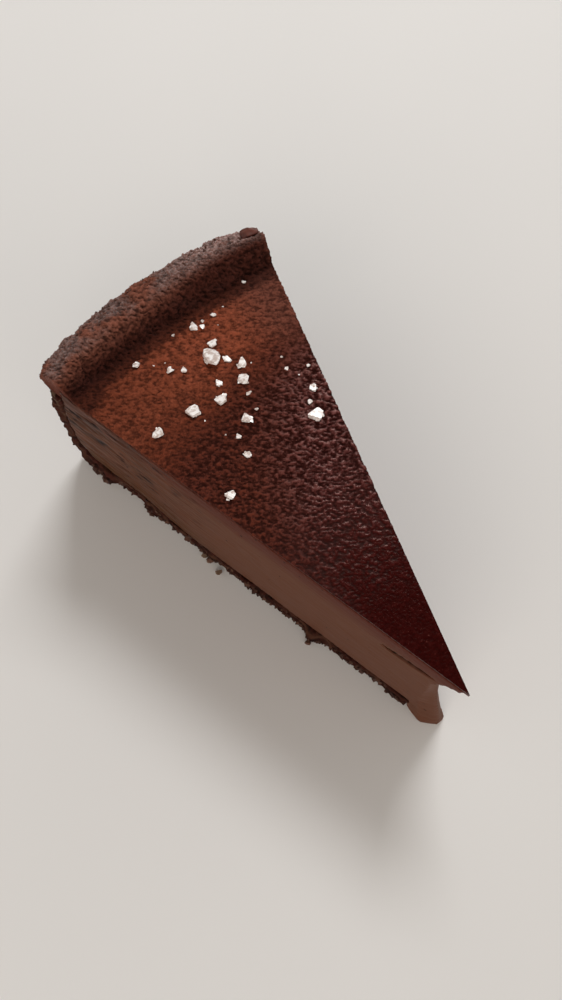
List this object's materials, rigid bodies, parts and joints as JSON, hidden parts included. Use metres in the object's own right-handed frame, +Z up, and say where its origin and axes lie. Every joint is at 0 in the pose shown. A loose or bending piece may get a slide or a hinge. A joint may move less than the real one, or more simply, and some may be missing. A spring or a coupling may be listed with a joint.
{
  "type": "chocolate cheesecake slice",
  "caption": "Wedge of chocolate cheesecake on a crumb crust with a tall outer wall, under a baked cocoa top with a puffed rim and flaked salt.",
  "frame": {"origin": "centre of the bounding box's lowest side, on the plate under the slice", "axes": "+Y from the tip of the wedge to the rim, +Z up"},
  "size_m": [0.0554, 0.1062, 0.0452],
  "materials": {
    "crumb_crust": "rough chocolate biscuit crumb",
    "cheesecake_filling": "smooth knife-cut chocolate cream",
    "cocoa_top": "pebbled baked cocoa, dry near the rim and moist near the tip",
    "salt_flakes": "white translucent sea salt flakes"
  },
  "bodies": {
    "root": {"crumb_crust": "crumb_crust", "cheesecake_filling": "cheesecake_filling", "cocoa_top": "cocoa_top"}
  },
  "joints": []
}
